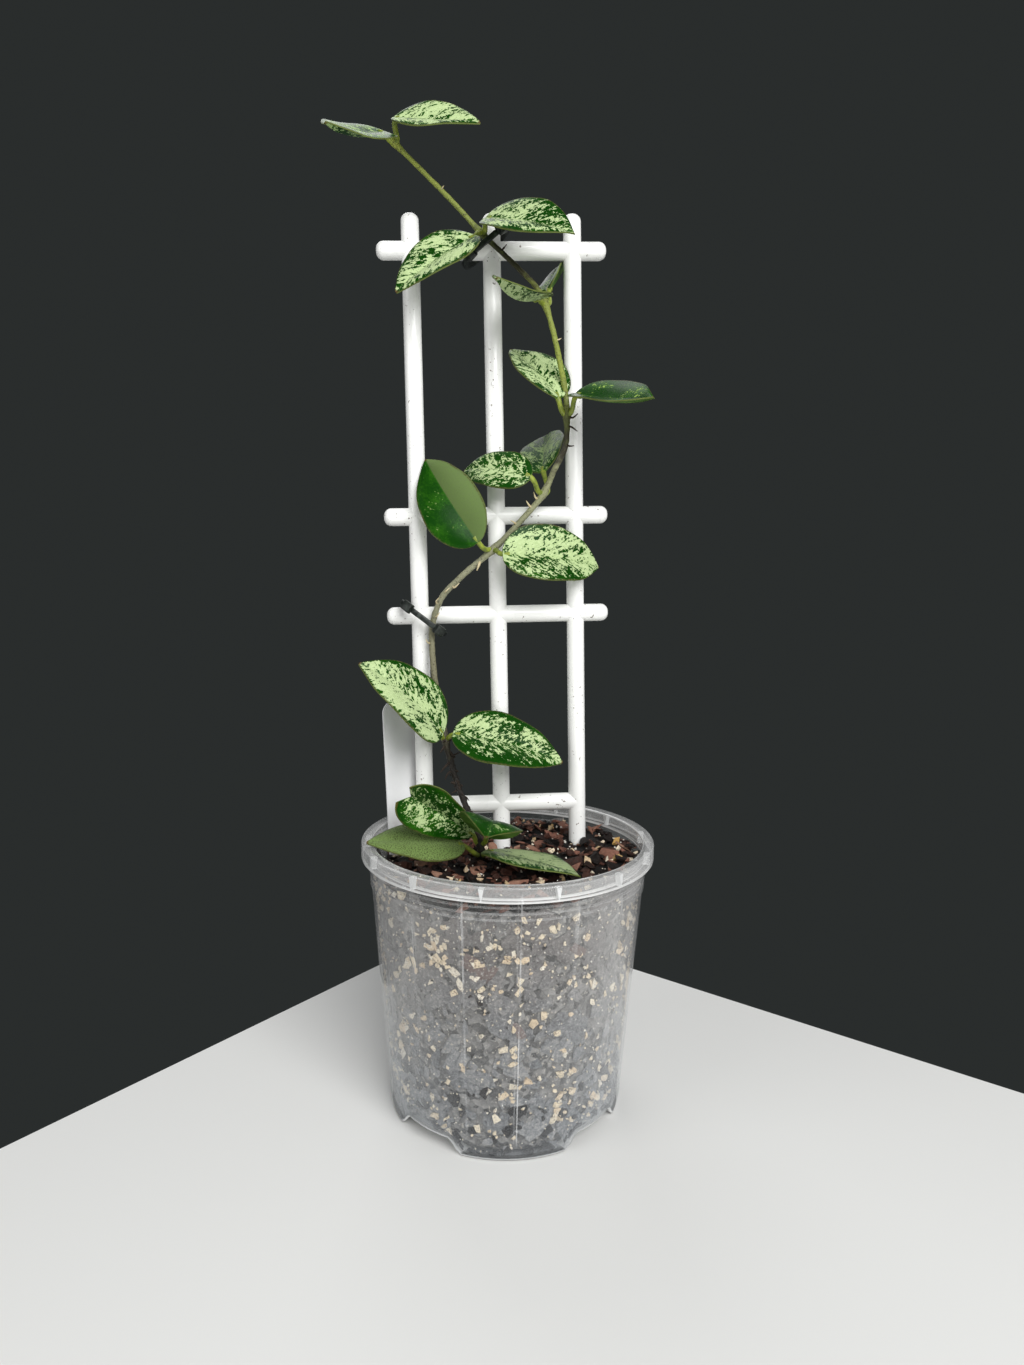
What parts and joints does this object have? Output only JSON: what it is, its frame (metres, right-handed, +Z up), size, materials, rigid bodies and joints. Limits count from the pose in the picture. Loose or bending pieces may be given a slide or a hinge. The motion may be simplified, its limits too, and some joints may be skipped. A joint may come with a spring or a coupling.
{
  "type": "potted hoya plant",
  "caption": "Young twining hoya with opposite pairs of thick, silver-splashed leaves, trained up a white ladder trellis in a clear nursery pot.",
  "frame": {"origin": "centre of the pot's base, on the surface that the pot stands on", "axes": "+Z up along the pot's axis; the front, which most leaves face, is -Y; the trellis stands behind the vine towards +Y; +X is to the right seen from the front"},
  "size_m": [0.1402, 0.13, 0.432],
  "materials": {
    "pot_plastic": "clear, slightly milky, smooth",
    "potting_mix": "rough bark chips with mineral grains",
    "trellis_plastic": "satin white",
    "label_plastic": "satin white",
    "clip_plastic": "dark green-black",
    "vine_bark": "grey-olive below, yellow-green at the top",
    "leaf": "waxy deep green with silver splashes"
  },
  "bodies": {
    "root": {"pot": "pot_plastic", "potting_mix": "potting_mix", "trellis": "trellis_plastic", "plant_label": "label_plastic", "clip_lower": "clip_plastic", "clip_upper": "clip_plastic", "vine_stem": "vine_bark", "leaf_1_left": "leaf", "leaf_1_right": "leaf", "leaf_2_left": "leaf", "leaf_2_right": "leaf", "leaf_3_left": "leaf", "leaf_3_right": "leaf", "leaf_4_left": "leaf", "leaf_4_right": "leaf", "leaf_5_left": "leaf", "leaf_5_right": "leaf", "leaf_6_left": "leaf", "leaf_6_right": "leaf", "leaf_7_left": "leaf", "leaf_7_right": "leaf", "leaf_8_left": "leaf", "leaf_8_right": "leaf", "leaf_9_left": "leaf", "leaf_9_right": "leaf"}
  },
  "joints": []
}
